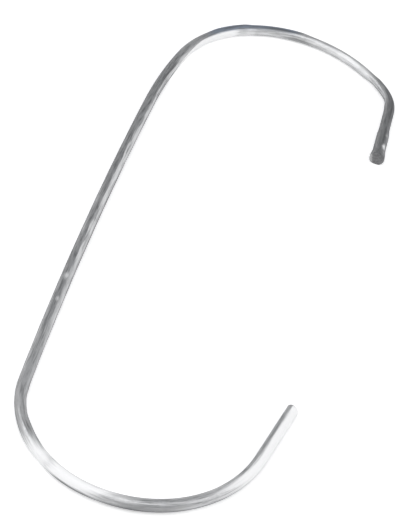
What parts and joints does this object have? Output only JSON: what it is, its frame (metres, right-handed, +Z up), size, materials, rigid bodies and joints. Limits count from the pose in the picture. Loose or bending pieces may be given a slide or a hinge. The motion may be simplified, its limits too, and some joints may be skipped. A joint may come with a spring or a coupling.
{
  "type": "c hook",
  "caption": "Long C-shaped hook bent from one length of round steel rod, with a bowed back and two open hooks that face the same way.",
  "frame": {"origin": "middle of the footprint, on the surface that the hook lies on", "axes": "+Y along the back towards the upper hook, +X towards the open side of both hooks, +Z up from the surface, square to the plane of the hook"},
  "size_m": [0.113, 0.3068, 0.0061],
  "materials": {
    "rod": "dull zinc-plated drawn rod, faint lines along it, rubbed bright on the crown of the bends"
  },
  "bodies": {
    "root": {"hook": "rod"}
  },
  "joints": []
}
